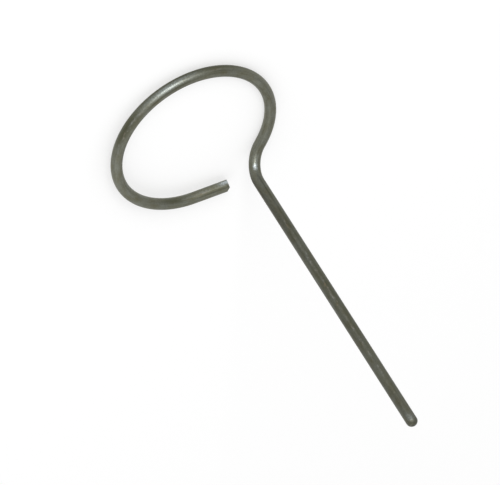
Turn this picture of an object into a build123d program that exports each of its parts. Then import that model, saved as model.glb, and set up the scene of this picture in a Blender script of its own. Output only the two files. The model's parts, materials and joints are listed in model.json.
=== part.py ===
"""Bent-wire loop tool: an open ring and a straight shank square to it, in one length of round wire."""

import os

from build123d import *

# Driving sizes, in mm and degrees.
WIRE_DIA = 3.0  # round wire, the same all along
LOOP_INNER_DIA = 40.4  # free opening inside the ring
SHANK_LENGTH = 89.3  # straight wall, from the bend to where the tip starts to round
BEND_RADIUS = 7.0  # wire centreline where the ring turns up into the shank
BEND_START = -54.2  # place on the ring where the bend leaves it
TAIL_START = -114.0  # place on the ring where the straight tail leaves it
TAIL_LENGTH = 10.0  # last stretch, left straight, as far as the middle of the cut
LOOP_TILT = 2.4  # how far the ring's plane is out of square with the shank

# The end is nipped off with cutters, which leave two slanted faces. A face's turn is the side
# of the wire that it leans to: 0 is away from the ring's centre and 90 is towards the tip.
CUT_SLANT = 19.0  # how far the main face is out of square with the wire
CUT_TURN = 151.0
NIP_SLANT = 50.0  # the same for the small face that takes off one corner
NIP_TURN = 66.0
NIP_BEYOND = 0.75  # how far past the middle of the cut its plane crosses the wire's axis

wire_r = WIRE_DIA / 2
loop_r = (LOOP_INNER_DIA + WIRE_DIA) / 2
loop_sweep = TAIL_START - BEND_START + 360

# The shape is worked out with the ring flat on XY and centred on the origin.
# The wire runs clockwise: cut end, tail, ring, bend, shank, tip.
shank_dir = Vector(0, 0, 1).rotate(Axis.Y, -LOOP_TILT)


def on_loop(angle):
    """The point of the ring's centreline at this angle."""
    return Vector(loop_r, 0, 0).rotate(Axis.Z, angle)


def along_loop(angle):
    """The wire's clockwise direction at this angle."""
    return Vector(0, -1, 0).rotate(Axis.Z, angle)


def wire_section(point, direction):
    """The wire's round section, facing along the wire."""
    return Plane(origin=point, z_dir=direction) * Circle(wire_r)


def make_tail():
    """The straight tail, nipped off at its end."""
    outwards = -along_loop(TAIL_START)
    away = on_loop(TAIL_START).normalized()
    tail = extrude(wire_section(on_loop(TAIL_START), outwards), amount=TAIL_LENGTH + WIRE_DIA, dir=outwards)
    for slant, turn, beyond in ((CUT_SLANT, CUT_TURN, 0), (NIP_SLANT, NIP_TURN, NIP_BEYOND)):
        middle = on_loop(TAIL_START) + outwards * (TAIL_LENGTH + beyond)
        lean = away.rotate(Axis((0, 0, 0), -outwards), turn)
        facing = outwards.rotate(Axis((0, 0, 0), outwards.cross(lean)), slant)
        tail = split(tail, bisect_by=Plane(origin=middle, z_dir=facing), keep=Keep.BOTTOM)
    return tail


def make_ring():
    """The ring's arc, from the tail round to the bend."""
    section = wire_section(on_loop(TAIL_START), along_loop(TAIL_START))
    return revolve(section, axis=Axis((0, 0, 0), (0, 0, -1)), revolution_arc=loop_sweep)


def make_bend():
    """The bend up into the shank, and the point where it ends."""
    start = on_loop(BEND_START)
    direction = along_loop(BEND_START)
    hinge_dir = direction.cross(shank_dir).normalized()
    hinge = Axis(start + hinge_dir.cross(direction) * BEND_RADIUS, hinge_dir)
    turn = direction.get_angle(shank_dir)
    bend = revolve(wire_section(start, direction), axis=hinge, revolution_arc=turn)
    end = Vertex(*start).rotate(hinge, turn).center()
    return bend, end


def make_shank(start):
    """The straight shank and its domed tip, and the point where the dome starts."""
    top = start + shank_dir * SHANK_LENGTH
    shank = extrude(wire_section(start, shank_dir), amount=SHANK_LENGTH, dir=shank_dir)
    return shank + Pos(top) * Sphere(wire_r), top


bend, bend_end = make_bend()
shank, shank_top = make_shank(bend_end)
wire = make_tail() + make_ring() + bend + shank

# Row frame: the shank is on Z, and the origin is where its tip starts to round.
row_frame = Plane(origin=shank_top, x_dir=Vector(1, 0, 0).rotate(Axis.Y, -LOOP_TILT), z_dir=shank_dir)
bent_wire = row_frame.to_local_coords(wire)
bent_wire.label = "bent_wire"

os.makedirs("parts", exist_ok=True)
export_step(bent_wire, "parts/bent_wire.step")
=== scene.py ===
"""Visual model of a bent-wire loop tool: an open ring square to a straight, dome-tipped shank.

The wire is modelled straight, with its two ends finished, and is then bent along its path,
so the drawn grain, the wear marks and the painted highlights, glints and shade bands follow it
round the ring.
"""

import json
from math import cos, pi, radians, sin, tan
from typing import NamedTuple

import bpy
from bpy.props import FloatProperty, FloatVectorProperty, IntProperty, PointerProperty
from mathutils import Matrix, Vector


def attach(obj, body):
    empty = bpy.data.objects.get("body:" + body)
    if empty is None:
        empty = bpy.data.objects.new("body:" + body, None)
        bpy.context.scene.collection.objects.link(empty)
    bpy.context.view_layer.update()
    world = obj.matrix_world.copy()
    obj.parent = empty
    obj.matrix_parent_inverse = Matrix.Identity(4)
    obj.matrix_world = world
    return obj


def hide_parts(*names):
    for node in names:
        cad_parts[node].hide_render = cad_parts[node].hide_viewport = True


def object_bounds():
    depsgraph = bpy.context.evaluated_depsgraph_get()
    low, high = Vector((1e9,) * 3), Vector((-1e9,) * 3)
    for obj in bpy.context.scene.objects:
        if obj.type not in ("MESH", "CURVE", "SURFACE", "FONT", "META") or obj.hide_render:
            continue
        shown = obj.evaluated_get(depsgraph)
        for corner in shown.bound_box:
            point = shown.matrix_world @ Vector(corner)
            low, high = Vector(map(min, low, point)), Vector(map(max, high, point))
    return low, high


bl_info = {
    "name": "Bent wire loop tool",
    "version": (1, 0, 0),
    "blender": (4, 5, 0),
    "location": "3D View > Sidebar > Wire Loop",
    "description": "Builds a steel wire loop tool and its plain studio stage",
    "category": "Object",
}

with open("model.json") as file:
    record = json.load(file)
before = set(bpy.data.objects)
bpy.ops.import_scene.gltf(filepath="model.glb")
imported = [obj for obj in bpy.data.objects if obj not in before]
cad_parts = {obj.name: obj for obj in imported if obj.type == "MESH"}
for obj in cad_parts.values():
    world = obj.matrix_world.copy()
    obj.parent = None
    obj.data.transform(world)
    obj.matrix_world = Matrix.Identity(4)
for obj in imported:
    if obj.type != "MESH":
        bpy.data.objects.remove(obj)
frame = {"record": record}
cad_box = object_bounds()
shank_mount = next(m for m in frame["record"]["mounts"] if m["name"] == "shank")

CAD_NODE = "bent_wire"
ROOT_BODY = "root"
GRAIN_MAP = "along_wire"

RING_KNOTS = 12  # knots of the path round the ring
BEND_KNOTS = 4  # and round the bend
PATH_RESOLUTION = 64

DOME_SHARE = 0.97  # how much of the wire's radius the tip's rounding takes
DOME_SEGMENTS = 12
EDGE_SEGMENTS = 2
SMOOTH_ANGLE = radians(30)  # a sharper edge than this stays sharp in the shading
SQUARE = 0.99  # a face is square to the straight bar when its normal's X is beyond this


class WireLoopSettings(bpy.types.PropertyGroup):
    """Sizes and colours that a user may change."""

    wire_diameter: FloatProperty(
        name="Wire diameter", description="Diameter of the round wire",
        default=shank_mount["dims"]["r_mm"] * 2 / 1000, unit="LENGTH", precision=4)
    shank_length: FloatProperty(
        name="Shank length", description="Straight wall, from the bend to the tip's dome",
        default=shank_mount["dims"]["length_mm"] / 1000, unit="LENGTH", precision=4)
    loop_inner_diameter: FloatProperty(
        name="Loop inner diameter", description="Free opening inside the ring",
        default=0.0404, unit="LENGTH", precision=4)
    bend_radius: FloatProperty(
        name="Bend radius", description="Centreline radius where the ring turns up into the shank",
        default=0.007, unit="LENGTH", precision=4)
    tail_length: FloatProperty(
        name="Tail length", description="Straight stretch, as far as the middle of the cut",
        default=0.010, unit="LENGTH", precision=4)
    bend_start: FloatProperty(
        name="Bend start", description="Place on the ring where the bend leaves it",
        default=radians(-54.2), unit="ROTATION")
    tail_start: FloatProperty(
        name="Tail start", description="Place on the ring where the tail leaves it",
        default=radians(-114.0), unit="ROTATION")
    loop_tilt: FloatProperty(
        name="Loop tilt", description="How far the ring's plane is out of square with the shank",
        default=radians(2.4), unit="ROTATION")
    cut_slant: FloatProperty(
        name="Cut slant", description="How far the cut's main face is out of square with the wire",
        default=radians(19.0), unit="ROTATION")
    cut_turn: FloatProperty(
        name="Cut turn", description="Side of the wire that the main face leans to",
        default=radians(151.0), unit="ROTATION")
    nip_slant: FloatProperty(
        name="Nip slant", description="How far the corner face is out of square with the wire",
        default=radians(50.0), unit="ROTATION")
    nip_turn: FloatProperty(
        name="Nip turn", description="Side of the wire that the corner face leans to",
        default=radians(66.0), unit="ROTATION")
    nip_beyond: FloatProperty(
        name="Nip beyond",
        description="From the cut's middle to where the corner face crosses the axis",
        default=0.00075, unit="LENGTH", precision=5)
    cut_edge: FloatProperty(
        name="Cut edge", description="Width of the rolled edge round the cut faces",
        default=0.00010, unit="LENGTH", precision=5)
    sides: IntProperty(
        name="Sides", description="Faces round the wire", default=48, min=16, max=96)
    step: FloatProperty(
        name="Step", description="Length of a face along the wire",
        default=0.0006, unit="LENGTH", precision=5)
    steel_colour: FloatVectorProperty(
        name="Steel", description="Dull drawn steel", subtype="COLOR", size=4,
        default=(0.192, 0.198, 0.164, 1.0))
    oxide_colour: FloatVectorProperty(
        name="Oxide", description="Olive-brown oxide mottling", subtype="COLOR", size=4,
        default=(0.150, 0.147, 0.100, 1.0))
    # Painted shade: the shade bands are painted this dark olive where the wire's sides would
    # reflect a darker surround.
    painted_shade_colour: FloatVectorProperty(
        name="Dull bands", description="Dark olive scale along the wire", subtype="COLOR", size=4,
        default=(0.066, 0.068, 0.038, 1.0))
    # Painted glints: the flecks along the highlight's line are painted this light grey, with rust
    # mixed in.
    fleck_glint_colour: FloatVectorProperty(
        name="Flecks", description="Bare flecks along a rubbed line", subtype="COLOR", size=4,
        default=(0.255, 0.255, 0.235, 1.0))
    rust_colour: FloatVectorProperty(
        name="Rust", description="Flecks that have started to rust", subtype="COLOR", size=4,
        default=(0.165, 0.130, 0.075, 1.0))
    # Painted highlight: the rubbed places are painted this bluish near-white, partly rubbed steel
    # and partly the lamp's highlight painted into the colour.
    worn_highlight_colour: FloatVectorProperty(
        name="Worn steel", description="Steel rubbed bright", subtype="COLOR", size=4,
        default=(0.500, 0.555, 0.573, 1.0))
    torn_colour: FloatVectorProperty(
        name="Torn steel", description="Hollows of the cut faces", subtype="COLOR", size=4,
        default=(0.11, 0.11, 0.10, 1.0))
    bare_colour: FloatVectorProperty(
        name="Bare steel", description="High spots of the cut faces", subtype="COLOR", size=4,
        default=(0.30, 0.30, 0.30, 1.0))
    floor_colour: FloatVectorProperty(
        name="Floor", description="Pale floor", subtype="COLOR", size=4,
        default=(0.93, 0.93, 0.93, 1.0))


def settings():
    return bpy.context.scene.wire_loop


# ---------------------------------------------------------------- the wire's path

def bar_lengths(s):
    """Length of each stretch of the wire: tail, ring, bend, shank."""
    loop_r = (s.loop_inner_diameter + s.wire_diameter) / 2
    ring = loop_r * (s.tail_start - s.bend_start + 2 * pi)
    bend = s.bend_radius * bend_turn(s)
    return s.tail_length, ring, bend, s.shank_length


def shank_direction(s):
    """The shank's direction while the ring lies flat on XY."""
    return Vector((-sin(s.loop_tilt), 0, cos(s.loop_tilt)))


def clockwise(angle):
    """The wire's direction round the ring at this angle."""
    return Vector((sin(angle), -cos(angle), 0))


def bend_turn(s):
    """The angle that the bend turns through."""
    return clockwise(s.bend_start).angle(shank_direction(s))


def arc_knots(centre, start, axis, turn, pieces):
    """Points and directions along an arc, its first point left out."""
    knots = []
    for i in range(1, pieces + 1):
        arm = Matrix.Rotation(turn * i / pieces, 3, axis) @ (start - centre)
        knots.append((centre + arm, axis.cross(arm).normalized()))
    return knots


def arc_handle(radius, turn, pieces):
    """Length of the Bezier handles that make each piece of an arc round."""
    return 4 / 3 * tan(turn / pieces / 4) * radius


def wire_knots(s):
    """Each knot of the path: its point, its direction and the handle length before it."""
    loop_r = (s.loop_inner_diameter + s.wire_diameter) / 2
    up = shank_direction(s)
    ring_start = Vector((loop_r * cos(s.tail_start), loop_r * sin(s.tail_start), 0))
    tail_dir = clockwise(s.tail_start)
    knots = [(ring_start - tail_dir * s.tail_length, tail_dir, 0)]
    knots.append((ring_start, tail_dir, s.tail_length / 3))

    ring_turn = s.tail_start - s.bend_start + 2 * pi
    handle = arc_handle(loop_r, ring_turn, RING_KNOTS)
    ring = arc_knots(Vector((0, 0, 0)), ring_start, Vector((0, 0, -1)), ring_turn, RING_KNOTS)
    knots += [(point, direction, handle) for point, direction in ring]

    start, direction = ring[-1]
    hinge = direction.cross(up).normalized()
    centre = start + hinge.cross(direction) * s.bend_radius
    handle = arc_handle(s.bend_radius, bend_turn(s), BEND_KNOTS)
    bend = arc_knots(centre, start, hinge, bend_turn(s), BEND_KNOTS)
    knots += [(point, direction, handle) for point, direction in bend]

    dome = s.wire_diameter / 2
    knots.append((bend[-1][0] + up * (s.shank_length + dome), up, (s.shank_length + dome) / 3))
    return knots


def row_frame(s):
    """Turns the flat ring's frame into the part's own frame, with the shank up Z from its top."""
    top = wire_knots(s)[-1][0] - shank_direction(s) * s.wire_diameter / 2
    return Matrix.Rotation(s.loop_tilt, 4, "Y") @ Matrix.Translation(-top)


def add_path(s):
    """The wire's centreline as a Bezier curve in the part's frame."""
    curve = bpy.data.curves.new("wire_path", "CURVE")
    curve.dimensions = "3D"
    curve.resolution_u = PATH_RESOLUTION
    curve.twist_mode = "MINIMUM"
    spline = curve.splines.new("BEZIER")
    knots = wire_knots(s)
    spline.bezier_points.add(len(knots) - 1)
    place = row_frame(s)
    for i, (point, direction, before) in enumerate(knots):
        after = knots[i + 1][2] if i + 1 < len(knots) else before
        knot = spline.bezier_points[i]
        knot.handle_left_type = knot.handle_right_type = "FREE"
        knot.co = place @ point
        knot.handle_left = place @ (point - direction * before)
        knot.handle_right = place @ (point + direction * after)
    path = bpy.data.objects.new("wire_path", curve)
    bpy.context.collection.objects.link(path)
    return path


# ---------------------------------------------------------------- modelling helpers

def deselect_everything():
    if bpy.context.object and bpy.context.object.mode != "OBJECT":
        bpy.ops.object.mode_set(mode="OBJECT")
    bpy.ops.object.select_all(action="DESELECT")


def make_active(obj):
    deselect_everything()
    obj.select_set(True)
    bpy.context.view_layer.objects.active = obj


def select_edges(obj, wanted):
    """Selects in edge mode each edge whose two ends satisfy wanted."""
    bpy.ops.object.mode_set(mode="EDIT")
    bpy.ops.mesh.select_mode(type="EDGE")
    bpy.ops.mesh.select_all(action="DESELECT")
    bpy.ops.object.mode_set(mode="OBJECT")
    verts = obj.data.vertices
    for edge in obj.data.edges:
        edge.select = wanted(verts[edge.vertices[0]].co, verts[edge.vertices[1]].co)
    bpy.ops.object.mode_set(mode="EDIT")


def select_faces(obj, wanted):
    """Selects in face mode each face that satisfies wanted."""
    bpy.ops.object.mode_set(mode="EDIT")
    bpy.ops.mesh.select_mode(type="FACE")
    bpy.ops.mesh.select_all(action="DESELECT")
    bpy.ops.object.mode_set(mode="OBJECT")
    for face in obj.data.polygons:
        face.select = wanted(face)
    bpy.ops.object.mode_set(mode="EDIT")


# ---------------------------------------------------------------- marks on the wire

class Band(NamedTuple):
    """A mark that lies along one side of the wire, in metres and degrees."""

    place: str  # the named place that its middle is measured from
    offset: float  # from that place to its middle, towards the tip
    half_length: float
    side: float  # round the wire: on the ring, 0 faces outwards and 90 the way the shank points
    edge: float  # cosine of the angle from its middle line at which it has faded out
    strength: float
    shank_share: float = 0.0  # share of the shank's length that is added to half_length


# Rubbed places that also carry painted highlights: each band lies where the front lamp's reflection
# falls on the crown, the neck, the cut end and the tip, and is painted light there.
RUBBED_AND_HIGHLIGHT_BANDS = (
    Band("crown", 0.0035, 0.0140, 27, 0.70, 0.42),
    Band("crown", -0.0045, 0.0085, 38, 0.95, 0.22),
    Band("neck", 0.0, 0.0048, 127, 0.75, 0.22),
    Band("neck", 0.0012, 0.0020, 127, 0.85, 1.0),
    Band("cut", 0.0008, 0.0030, 176, 0.88, 1.4),
    Band("cut", 0.0016, 0.0034, 161, 0.92, 0.30),
    Band("cut", 0.0074, 0.0085, 158, 0.96, 0.18),
    Band("tip", 0.0, 0.0022, 143, 0.75, 0.29),
)
# Real flecks that are also painted glints: the bands follow the line of the lamp's reflection round
# the crown, by the cut and down the middle of the shank.
FLECKS_AND_GLINTS = (
    Band("crown", -0.0110, 0.0140, 47, 0.94, 1.0),
    Band("crown", 0.0135, 0.0100, 28, 0.94, 0.7),
    Band("cut", 0.0084, 0.0120, 156, 0.94, 1.0),
    Band("mid_shank", 0.0, 0.0, 139, 0.96, 1.0, shank_share=0.75),
)
# Painted shade: dark bands on the sides of the wire that would reflect a darker surround, round the
# crown, by the cut and along the shank.
PAINTED_SHADE_BANDS = (
    Band("crown", 0.0090, 0.0360, -8, 0.60, 1.0),
    Band("crown", 0.0040, 0.0180, 66, 0.88, 0.55),
    Band("crown", -0.0105, 0.0115, 30, 0.50, 0.95),
    Band("crown", 0.0165, 0.0110, 32, 0.60, 0.50),
    Band("cut", 0.0159, 0.0090, 158, 0.72, 0.75),
    Band("cut", 0.0044, 0.0080, 130, 0.95, 0.45),
    Band("mid_shank", 0.0, 0.0, 104, 0.80, 0.55, shank_share=0.66),
    Band("mid_shank", 0.0, 0.0, 166, 0.93, 0.25, shank_share=0.66),
)

CROWN_SHARE = 0.51  # how far round the ring its crown is
CUT_BRUISE_AND_HIGHLIGHT = (0.0009, 0.3)  # bright collar at the cut, a bruise painted light as a highlight: its length and its strength
WEAR_HIGHLIGHT_STEADY, WEAR_HIGHLIGHT_SPECKS = 0.35, 0.70  # the even part of a rubbed mark with its painted highlight, and its speckled part
FLECK_GLINT_STEADY, FLECK_GLINT_SPECKS = 0.06, 0.75
PAINTED_SHADE_COVER = 0.85
SHANK_PAINTED_SHADE = 0.66  # painted shade: the shank's colour against the ring's, darker as if it reflected a darker surround
SHANK_SHADE_START, SHANK_SHADE_END = -0.004, 0.006  # where that painted shade starts and ends, from the bend's ends
ROUGHNESS = (0.41, 0.53)  # at the darkest and the brightest speck
TORN_ROUGHNESS = 0.55
WEAR_SMOOTHING = 0.12  # how much smoother a rubbed place is
WEAR_FLATTENING = 0.9  # how much of the grain's depth rubbing takes off
LINES_HEIGHT, SPECKS_HEIGHT = 0.7, 0.5  # what each adds to the surface's height
GRAIN_DEPTH = 0.00004
TORN_DEPTH = 0.00006
GRAIN_STRENGTH = 0.8


def places_along(s):
    """Where the named places are along the straight wire."""
    tail, ring, bend, shank = bar_lengths(s)
    shank_start = tail + ring + bend
    return {
        "cut": 0.0,
        "crown": tail + ring * CROWN_SHARE,
        "bend": tail + ring,
        "neck": tail + ring + bend / 2,
        "shank": shank_start,
        "mid_shank": shank_start + shank / 2,
        "tip": shank_start + shank,
    }


# ---------------------------------------------------------------- shader helpers

def new_material(name):
    material = bpy.data.materials.new(name)
    material.use_nodes = True
    nodes = material.node_tree.nodes
    return material, nodes, material.node_tree.links, nodes["Principled BSDF"]


def ramp(nodes, links, value, low, high, low_grey=0.0, high_grey=1.0):
    """A colour ramp from one grey, at low, to another, at high."""
    node = nodes.new("ShaderNodeValToRGB")
    stops = ((low, low_grey), (high, high_grey))
    for element, (position, grey) in zip(node.color_ramp.elements, stops):
        element.position = position
        element.color = (grey, grey, grey, 1)
    links.new(value, node.inputs["Fac"])
    return node.outputs["Color"]


def noise(nodes, links, vector, scale, detail, roughness):
    node = nodes.new("ShaderNodeTexNoise")
    node.inputs["Scale"].default_value = scale
    node.inputs["Detail"].default_value = detail
    node.inputs["Roughness"].default_value = roughness
    links.new(vector, node.inputs["Vector"])
    return node.outputs["Fac"]


def drawn_out(nodes, links, vector, share):
    """Coordinates with this share of the way along the wire, which draws a pattern out."""
    node = nodes.new("ShaderNodeVectorMath")
    node.operation = "MULTIPLY"
    node.inputs[1].default_value = (share, 1.0, 1.0)
    links.new(vector, node.inputs[0])
    return node.outputs[0]


def maths(nodes, links, operation, first, second, clamp=False):
    """A Math node; each input is a socket or a number."""
    node = nodes.new("ShaderNodeMath")
    node.operation = operation
    node.use_clamp = clamp
    for socket, value in zip(node.inputs, (first, second)):
        if isinstance(value, (int, float)):
            socket.default_value = value
        else:
            links.new(value, socket)
    return node.outputs[0]


def scale_and_add(nodes, links, value, scale, add):
    """value times a number, plus a number or a socket."""
    return maths(nodes, links, "ADD", maths(nodes, links, "MULTIPLY", value, scale), add)


def mix_colour(nodes, links, factor, first, second):
    """A colour Mix node; each colour is a socket or four numbers."""
    node = nodes.new("ShaderNodeMix")
    node.data_type = "RGBA"
    links.new(factor, node.inputs["Factor"])
    for socket, value in zip((node.inputs[6], node.inputs[7]), (first, second)):
        if isinstance(value, bpy.types.NodeSocket):
            links.new(value, socket)
        else:
            socket.default_value = value
    return node.outputs[2]


def multiply_colours(nodes, links, first, second):
    node = nodes.new("ShaderNodeMix")
    node.data_type = "RGBA"
    node.blend_type = "MULTIPLY"
    node.inputs["Factor"].default_value = 1.0
    links.new(first, node.inputs[6])
    links.new(second, node.inputs[7])
    return node.outputs[2]


def fade(nodes, links, value, low, high, to_low=0.0, to_high=1.0, kind="SMOOTHSTEP"):
    """A step from to_low, where value is low, to to_high, where it is high."""
    step = nodes.new("ShaderNodeMapRange")
    step.interpolation_type = kind
    links.new(value, step.inputs["Value"])
    step.inputs["From Min"].default_value = low
    step.inputs["From Max"].default_value = high
    step.inputs["To Min"].default_value = to_low
    step.inputs["To Max"].default_value = to_high
    return step.outputs["Result"]


def add_bump(nodes, links, shader, height, depth):
    bump = nodes.new("ShaderNodeBump")
    bump.inputs["Strength"].default_value = GRAIN_STRENGTH
    bump.inputs["Distance"].default_value = depth
    links.new(height, bump.inputs["Height"])
    links.new(bump.outputs["Normal"], shader.inputs["Normal"])


def facing_side(nodes, links, vector, angle, radius):
    """The wire's side at this angle round it: 1 there, 0 a quarter turn away, -1 opposite."""
    side = nodes.new("ShaderNodeVectorMath")
    side.operation = "DOT_PRODUCT"
    side.inputs[1].default_value = (0, cos(angle) / radius, sin(angle) / radius)
    links.new(vector, side.inputs[0])
    return side.outputs["Value"]


def stretch_of_wire(nodes, links, along, middle, half_length):
    """1 at a place along the wire, fading to 0 at half_length on each side."""
    away = maths(nodes, links, "ABSOLUTE", maths(nodes, links, "SUBTRACT", along, middle), 0)
    fall = maths(nodes, links, "DIVIDE", away, half_length)
    return fade(nodes, links, fall, 1.0, 0.0)


def lengthwise_bands(nodes, links, vector, along, s, bands):
    """The strongest of several bands at each point of the wire."""
    places = places_along(s)
    strongest = None
    for band in bands:
        side = facing_side(nodes, links, vector, radians(band.side), s.wire_diameter / 2)
        side = fade(nodes, links, side, band.edge, 1.0)
        middle = places[band.place] + band.offset
        half_length = band.half_length + band.shank_share * s.shank_length
        mark = stretch_of_wire(nodes, links, along, middle, half_length)
        mark = maths(nodes, links, "MULTIPLY", side, mark)
        mark = maths(nodes, links, "MULTIPLY", mark, band.strength)
        if strongest is None:
            strongest = mark
        else:
            strongest = maths(nodes, links, "MAXIMUM", strongest, mark)
    return strongest


# ---------------------------------------------------------------- materials

def steel_grain_group():
    """Node group: specks, flecks, mottling and the drawn surface's height, all along the wire."""
    group = bpy.data.node_groups.new("steel_grain", "ShaderNodeTree")
    group.interface.new_socket("Vector", in_out="INPUT", socket_type="NodeSocketVector")
    nodes, links = group.nodes, group.links
    vector = nodes.new("NodeGroupInput").outputs["Vector"]
    short = drawn_out(nodes, links, vector, 0.45)
    long = drawn_out(nodes, links, vector, 0.035)

    lines = noise(nodes, links, long, scale=2400.0, detail=4.0, roughness=0.65)
    specks = noise(nodes, links, vector, scale=2600.0, detail=3.0, roughness=0.7)
    patterns = {
        "Specks": specks,
        "Flecks": noise(nodes, links, short, scale=2100.0, detail=1.0, roughness=0.5),
        "Mottle": noise(nodes, links, short, scale=620.0, detail=3.0, roughness=0.6),
        "Height": scale_and_add(nodes, links, lines, LINES_HEIGHT,
                                maths(nodes, links, "MULTIPLY", specks, SPECKS_HEIGHT)),
    }
    for name in patterns:
        group.interface.new_socket(name, in_out="OUTPUT", socket_type="NodeSocketFloat")
    end = nodes.new("NodeGroupOutput")
    for name, value in patterns.items():
        links.new(value, end.inputs[name])
    return group


def grain_nodes(nodes, links, group):
    """The wire's straight coordinates, and the grain group placed on them."""
    source = nodes.new("ShaderNodeAttribute")
    source.attribute_name = GRAIN_MAP
    grain = nodes.new("ShaderNodeGroup")
    grain.node_tree = group
    links.new(source.outputs["Vector"], grain.inputs["Vector"])
    return source.outputs["Vector"], grain.outputs


def steel_colour(nodes, links, s, along, grain, painted_shade, fleck_and_glint, wear_and_highlight):
    """Mottled steel, darker on the shank as painted shade, under its painted shade bands, its
    flecks with painted glints and its rubbed places with painted highlights, in that order.
    """
    mottle = ramp(nodes, links, grain["Mottle"], 0.36, 0.70)
    steel = mix_colour(nodes, links, mottle, tuple(s.steel_colour), tuple(s.oxide_colour))
    streak = ramp(nodes, links, grain["Height"], 0.44, 0.76, low_grey=0.76, high_grey=1.22)
    streaky = multiply_colours(nodes, links, steel, streak)

    # Painted shade: the shank is painted darker than the ring, as if it reflected a darker
    # surround.
    places = places_along(s)
    shank_shade = fade(nodes, links, along, places["bend"] + SHANK_SHADE_START, places["shank"] + SHANK_SHADE_END,
                1.0, SHANK_PAINTED_SHADE)
    shank_shaded = nodes.new("ShaderNodeVectorMath")
    shank_shaded.operation = "SCALE"
    links.new(streaky, shank_shaded.inputs[0])
    links.new(shank_shade, shank_shaded.inputs["Scale"])

    # Then the painted shade bands, the flecks painted light as glints, and the rubbed places
    # painted as highlights.
    painted_shade_cover = maths(nodes, links, "MULTIPLY", painted_shade, PAINTED_SHADE_COVER)
    colour = mix_colour(nodes, links, painted_shade_cover, shank_shaded.outputs[0], tuple(s.painted_shade_colour))
    fleck_and_glint_tint = mix_colour(nodes, links, mottle, tuple(s.fleck_glint_colour), tuple(s.rust_colour))
    colour = mix_colour(nodes, links, fleck_and_glint, colour, fleck_and_glint_tint)
    return mix_colour(nodes, links, wear_and_highlight, colour, tuple(s.worn_highlight_colour))


def drawn_steel(s, group):
    """Dull drawn steel: oxide mottling, fine specks, rubbed places painted light as highlights,
    flecks painted as glints, and painted shade bands.
    """
    material, nodes, links, shader = new_material("drawn_steel")
    vector, grain = grain_nodes(nodes, links, group)
    split = nodes.new("ShaderNodeSeparateXYZ")
    links.new(vector, split.inputs[0])
    along = split.outputs["X"]
    # Masks along the wire: rubbed places with painted highlights, flecks with painted glints, and
    # painted shade bands.
    rubbed_and_highlight = lengthwise_bands(nodes, links, vector, along, s, RUBBED_AND_HIGHLIGHT_BANDS)
    flecked_and_glinting = lengthwise_bands(nodes, links, vector, along, s, FLECKS_AND_GLINTS)
    painted_shade = lengthwise_bands(nodes, links, vector, along, s, PAINTED_SHADE_BANDS)

    # The bruise round the cut joins the rubbed places and is painted light as a highlight too.
    bruise_highlight_length, bruise_highlight_strength = CUT_BRUISE_AND_HIGHLIGHT
    bruise_and_highlight = stretch_of_wire(nodes, links, along, 0.0, bruise_highlight_length)
    bruise_and_highlight = maths(nodes, links, "MULTIPLY", bruise_and_highlight, bruise_highlight_strength)
    worn_and_highlight = maths(nodes, links, "MAXIMUM", bruise_and_highlight, rubbed_and_highlight)
    specks = ramp(nodes, links, grain["Specks"], 0.40, 0.66)
    specks = scale_and_add(nodes, links, specks, WEAR_HIGHLIGHT_SPECKS, WEAR_HIGHLIGHT_STEADY)
    wear_and_highlight = maths(nodes, links, "MULTIPLY", worn_and_highlight, specks, clamp=True)
    flecks = ramp(nodes, links, grain["Flecks"], 0.52, 0.68)
    flecks = scale_and_add(nodes, links, flecks, FLECK_GLINT_SPECKS, FLECK_GLINT_STEADY)
    fleck_and_glint = maths(nodes, links, "MULTIPLY", flecked_and_glinting, flecks)

    colour = steel_colour(nodes, links, s, along, grain, painted_shade, fleck_and_glint, wear_and_highlight)
    links.new(colour, shader.inputs["Base Color"])

    rough = fade(nodes, links, grain["Specks"], 0.0, 1.0, *ROUGHNESS, kind="LINEAR")
    smoother = maths(nodes, links, "MULTIPLY", wear_and_highlight, WEAR_SMOOTHING)
    rough = maths(nodes, links, "SUBTRACT", rough, smoother)
    links.new(rough, shader.inputs["Roughness"])

    flatter = maths(nodes, links, "MULTIPLY", worn_and_highlight, WEAR_FLATTENING)
    depth = maths(nodes, links, "SUBTRACT", 1.0, flatter)
    height = maths(nodes, links, "MULTIPLY", grain["Height"], depth)
    add_bump(nodes, links, shader, height, GRAIN_DEPTH)
    shader.inputs["Metallic"].default_value = 1.0
    return material


def sheared_steel(s, group):
    """The cut end's torn faces: bare, grey and rough."""
    material, nodes, links, shader = new_material("sheared_steel")
    _, grain = grain_nodes(nodes, links, group)
    torn = ramp(nodes, links, grain["Specks"], 0.35, 0.70)
    colour = mix_colour(nodes, links, torn, tuple(s.torn_colour), tuple(s.bare_colour))
    links.new(colour, shader.inputs["Base Color"])
    add_bump(nodes, links, shader, grain["Specks"], TORN_DEPTH)
    shader.inputs["Metallic"].default_value = 1.0
    shader.inputs["Roughness"].default_value = TORN_ROUGHNESS
    return material


# ---------------------------------------------------------------- the wire

def cut_planes(s):
    """The cutters' two faces across the straight bar: a point on each, and the way it faces."""
    planes = []
    faces = ((s.cut_slant, s.cut_turn, 0), (s.nip_slant, s.nip_turn, s.nip_beyond))
    for slant, turn, beyond in faces:
        lean = Vector((0, cos(turn), sin(turn)))
        planes.append((Vector((-beyond, 0, 0)), Vector((-cos(slant), 0, 0)) + lean * sin(slant)))
    return planes


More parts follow.
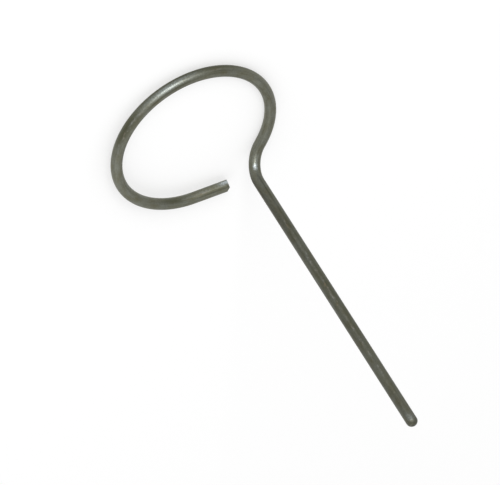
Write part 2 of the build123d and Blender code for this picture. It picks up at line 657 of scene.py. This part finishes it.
def add_straight_bar(s):
    """The whole length of wire, straight along X, with its two ends finished."""
    radius = s.wire_diameter / 2
    length = sum(bar_lengths(s)) + radius
    uncut = radius  # the bar is finely divided only from here on, clear of the cut
    near = radius / 100
    deselect_everything()
    bpy.ops.mesh.primitive_cylinder_add(
        vertices=s.sides, radius=radius, depth=length - uncut, end_fill_type="NGON",
        location=((length + uncut) / 2, 0, 0), rotation=(0, pi / 2, 0))
    bar = bpy.context.object
    bar.name = bar.data.name = "wire"
    bpy.ops.object.transform_apply(location=True, rotation=True, scale=True)

    select_edges(bar, lambda a, b: min(a.x, b.x) > length - near)
    bpy.ops.mesh.bevel(offset=radius * DOME_SHARE, offset_type="OFFSET",
                       segments=DOME_SEGMENTS, profile=0.5)
    select_faces(bar, lambda f: f.normal.x > SQUARE)
    bpy.ops.mesh.poke()
    select_edges(bar, lambda a, b: abs(a.x - b.x) > length / 2)
    bpy.ops.mesh.subdivide_edgering(number_cuts=round(length / s.step), interpolation="LINEAR")

    select_faces(bar, lambda f: f.normal.x < -SQUARE)
    bpy.ops.mesh.extrude_region_move(
        TRANSFORM_OT_translate={"value": (-uncut - s.wire_diameter, 0, 0)})
    for point, facing in cut_planes(s):
        bpy.ops.mesh.select_all(action="SELECT")
        bpy.ops.mesh.bisect(plane_co=point, plane_no=facing, use_fill=True, clear_outer=True)
    select_edges(bar, lambda a, b: max(a.x, b.x) < uncut - near)
    bpy.ops.mesh.bevel(offset=s.cut_edge, offset_type="OFFSET",
                       segments=EDGE_SEGMENTS, profile=0.5)
    bpy.ops.mesh.select_all(action="SELECT")
    bpy.ops.mesh.normals_make_consistent(inside=False)
    bpy.ops.object.mode_set(mode="OBJECT")
    return bar


def mark_straight_places(bar):
    """Keeps each point's place on the straight bar, for the grain to follow."""
    places = bar.data.attributes.new(GRAIN_MAP, "FLOAT_VECTOR", "POINT")
    for vertex in bar.data.vertices:
        places.data[vertex.index].vector = vertex.co


def bend_bar(bar, path):
    """Bends the straight bar along its path."""
    make_active(bar)
    bend = bar.modifiers.new("bend_along_path", "CURVE")
    bend.object = path
    bend.deform_axis = "POS_X"
    bpy.ops.object.modifier_apply(modifier=bend.name)
    bpy.data.objects.remove(path)


def finish_faces(bar, s, steel, torn):
    """Smooth shading, and the cut faces' own material."""
    bar.data.materials.append(steel)
    bar.data.materials.append(torn)
    places = bar.data.attributes[GRAIN_MAP].data
    touching = s.cut_edge / 20
    for face in bar.data.polygons:
        corners = [places[i].vector for i in face.vertices]
        if any(all(abs((corner - point).dot(facing)) < touching for corner in corners)
               for point, facing in cut_planes(s)):
            face.material_index = 1
    make_active(bar)
    bpy.ops.object.shade_smooth_by_angle(angle=SMOOTH_ANGLE)


class WIRELOOP_OT_add_wire(bpy.types.Operator):
    """Adds the bent wire, with its drawn-steel finish"""

    bl_idname = "wireloop.add_wire"
    bl_label = "Add wire"
    bl_options = {"REGISTER", "UNDO"}

    def execute(self, context):
        s = settings()
        bar = add_straight_bar(s)
        mark_straight_places(bar)
        bend_bar(bar, add_path(s))
        group = steel_grain_group()
        finish_faces(bar, s, drawn_steel(s, group), sheared_steel(s, group))
        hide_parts(CAD_NODE)
        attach(bar, ROOT_BODY)
        return {"FINISHED"}


# ---------------------------------------------------------------- the stage

FLOOR_SIZE = 3.0
FLOOR_GLOW = 0.55  # share of the floor's plain white that is seen directly
FLOOR_ROUGHNESS = 0.9
ROOM_STRENGTH = 0.80
SENSOR_WIDTH = 36.0  # millimetres, as cameras give it
FARTHEST_SEEN = 100.0


class Lamp(NamedTuple):
    """A square soft lamp, placed from the object's centre in metres."""

    name: str
    by_camera: bool  # offset is to the camera's right, up and back, not along X, Y and Z
    offset: tuple
    size: float
    watts: float


LAMPS = (
    Lamp("front_lamp", True, (0.0702, 0.2178, 0.8703), 0.36, 3.3),
    Lamp("overhead_lamp", False, (-0.78, -0.30, 1.0), 1.6, 2.8),
    Lamp("fill_lamp", True, (0.0, 0.0, 1.3), 1.5, 1.8),
)


class StageSettings(bpy.types.PropertyGroup):
    """Where the camera stands and what it takes in."""

    azimuth: FloatProperty(name="Azimuth", description="Camera's turn about Z, from facing along Y",
                           default=radians(177.98), unit="ROTATION")
    elevation: FloatProperty(name="Elevation", description="Camera's height angle",
                             default=radians(37.97), unit="ROTATION")
    roll: FloatProperty(name="Roll", description="Camera's turn about its own line of sight",
                        default=radians(147.58), unit="ROTATION")
    distance: FloatProperty(name="Distance", description="From the camera to the point it aims at",
                            default=3.0, unit="LENGTH")
    view_width: FloatProperty(name="View width", description="Width of the view at the aimed point",
                              default=0.12566, unit="LENGTH", precision=5)
    aim: FloatVectorProperty(name="Aim", description="Point that the camera looks at", size=3,
                             default=(-0.01000, 0.00328, -0.07224), subtype="TRANSLATION")


def camera_axes(stage):
    """The camera's right, up and back directions."""
    a, e, r = stage.azimuth, stage.elevation, stage.roll
    back = Vector((sin(a) * cos(e), -cos(a) * cos(e), sin(e)))
    level = Vector((cos(a), sin(a), 0))
    upright = back.cross(level)
    right = level * cos(r) + upright * sin(r)
    return right, back.cross(right), back


def add_camera(stage):
    camera = bpy.data.objects.new("camera", bpy.data.cameras.new("camera"))
    bpy.context.collection.objects.link(camera)
    right, up, back = camera_axes(stage)
    turn = Matrix((right, up, back)).transposed().to_4x4()
    camera.matrix_world = Matrix.Translation(Vector(stage.aim) + back * stage.distance) @ turn
    camera.data.sensor_width = SENSOR_WIDTH
    camera.data.lens = SENSOR_WIDTH * stage.distance / stage.view_width
    camera.data.clip_end = FARTHEST_SEEN
    bpy.context.scene.camera = camera


def add_lamp(lamp, centre, stage):
    """An area lamp that points at the object's centre."""
    light = bpy.data.lights.new(lamp.name, "AREA")
    light.size = lamp.size
    light.energy = lamp.watts
    axes = camera_axes(stage) if lamp.by_camera else Matrix.Identity(3)
    away = sum((axis * step for axis, step in zip(axes, lamp.offset)), Vector())
    holder = bpy.data.objects.new(lamp.name, light)
    holder.location = centre + away
    holder.rotation_euler = away.to_track_quat("Z", "Y").to_euler()
    bpy.context.collection.objects.link(holder)


def floor_material(s):
    """Pale floor that is seen as nearly white and still takes the object's shadow."""
    material, nodes, links, shader = new_material("pale_floor")
    shader.inputs["Base Color"].default_value = s.floor_colour
    shader.inputs["Roughness"].default_value = FLOOR_ROUGHNESS
    shader.inputs["Specular IOR Level"].default_value = 0.0
    paper = nodes.new("ShaderNodeEmission")
    path = nodes.new("ShaderNodeLightPath")
    seen = path.outputs["Is Camera Ray"]
    for ray in ("Is Glossy Ray", "Is Transmission Ray"):
        seen = maths(nodes, links, "MAXIMUM", seen, path.outputs[ray])
    share = maths(nodes, links, "MULTIPLY", seen, FLOOR_GLOW)
    white = nodes.new("ShaderNodeMixShader")
    links.new(share, white.inputs[0])
    links.new(shader.outputs[0], white.inputs[1])
    links.new(paper.outputs[0], white.inputs[2])
    links.new(white.outputs[0], nodes["Material Output"].inputs["Surface"])
    return material


class WIRELOOP_OT_add_stage(bpy.types.Operator):
    """Adds the pale floor, the soft lamps and the camera"""

    bl_idname = "wireloop.add_stage"
    bl_label = "Add stage"
    bl_options = {"REGISTER", "UNDO"}

    def execute(self, context):
        s = settings()
        stage = context.scene.wire_loop_stage
        low = Vector(cad_box[0])
        high = Vector(cad_box[1])
        centre = (low + high) / 2

        deselect_everything()
        bpy.ops.mesh.primitive_plane_add(size=FLOOR_SIZE, location=(centre.x, centre.y, low.z))
        floor = context.object
        floor.name = floor.data.name = "floor"
        bpy.ops.object.transform_apply(location=True, rotation=True, scale=True)
        floor.data.materials.append(floor_material(s))

        world = bpy.data.worlds.new("soft_room")
        world.use_nodes = True
        room = world.node_tree.nodes["Background"]
        room.inputs["Color"].default_value = (1, 1, 1, 1)
        room.inputs["Strength"].default_value = ROOM_STRENGTH
        context.scene.world = world

        add_camera(stage)
        for lamp in LAMPS:
            add_lamp(lamp, centre, stage)
        context.scene.view_settings.view_transform = "Standard"
        return {"FINISHED"}


class WIRELOOP_PT_panel(bpy.types.Panel):
    """Lists what the add-on builds"""

    bl_label = "Wire loop"
    bl_space_type = "VIEW_3D"
    bl_region_type = "UI"
    bl_category = "Wire Loop"

    def draw(self, context):
        layout = self.layout
        s = context.scene.wire_loop
        for name in ("wire_diameter", "shank_length", "loop_inner_diameter", "bend_radius",
                     "tail_length"):
            layout.prop(s, name)
        layout.operator(WIRELOOP_OT_add_wire.bl_idname)
        layout.operator(WIRELOOP_OT_add_stage.bl_idname)


CLASSES = (WireLoopSettings, StageSettings, WIRELOOP_OT_add_wire, WIRELOOP_OT_add_stage,
           WIRELOOP_PT_panel)


def register():
    for item in CLASSES:
        bpy.utils.register_class(item)
    bpy.types.Scene.wire_loop = PointerProperty(type=WireLoopSettings)
    bpy.types.Scene.wire_loop_stage = PointerProperty(type=StageSettings)


def unregister():
    del bpy.types.Scene.wire_loop_stage
    del bpy.types.Scene.wire_loop
    for item in reversed(CLASSES):
        bpy.utils.unregister_class(item)


def main():
    register()
    bpy.ops.wireloop.add_wire()
    bpy.ops.wireloop.add_stage()


if __name__ == "__main__":
    main()
